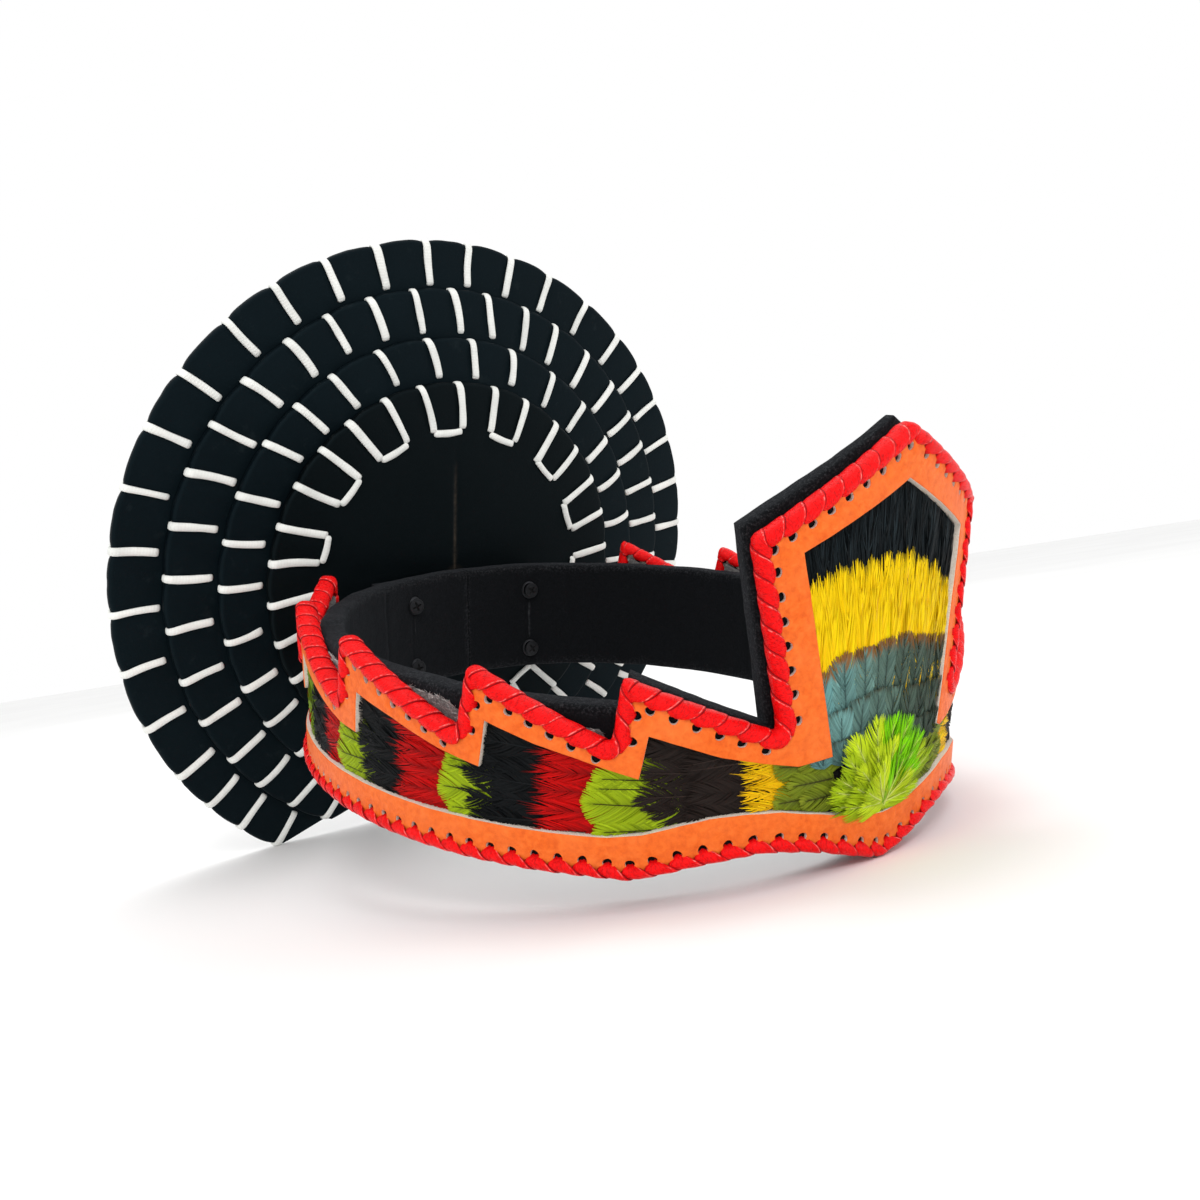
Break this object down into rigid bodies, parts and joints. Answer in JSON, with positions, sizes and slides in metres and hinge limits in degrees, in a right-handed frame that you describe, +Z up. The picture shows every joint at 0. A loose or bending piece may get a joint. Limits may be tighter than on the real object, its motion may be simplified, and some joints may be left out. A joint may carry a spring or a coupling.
{
  "type": "feathered headdress",
  "caption": "Padded oval head band with a pointed laced crest, feather mosaic front and a stepped round fan behind.",
  "frame": {"origin": "middle of the bounding box on the floor, with the headdress resting on the front point and the fan's two lower ends", "axes": "+X wearer's left, -Y front, +Z up; the head band is tipped 14.93 degrees forward about X, as it rests"},
  "size_m": [0.252, 0.2752, 0.2179],
  "materials": {
    "black_felt": "matt felt over board",
    "raw_felt": "raw cut felt",
    "orange_leather": "satin",
    "feathers": "short trimmed feathers",
    "red_lace": "satin",
    "tuft_feathers": "fluffy feathers",
    "leatherette": "matt grained",
    "screw_steel": "blackened"
  },
  "bodies": {
    "root": {"head_band": "black_felt", "side_padding": "raw_felt", "frame_upper": "orange_leather", "frame_lower": "orange_leather", "feather_panel": "feathers", "lace_top": "red_lace", "lace_bottom": "red_lace", "front_tuft": "tuft_feathers", "fan_tier_1": "leatherette", "fan_tier_2": "leatherette", "fan_tier_3": "leatherette", "fan_tier_4": "leatherette", "rear_spacer": "black_felt", "screw_1": "screw_steel", "screw_2": "screw_steel", "screw_3": "screw_steel", "screw_4": "screw_steel"}
  },
  "joints": []
}
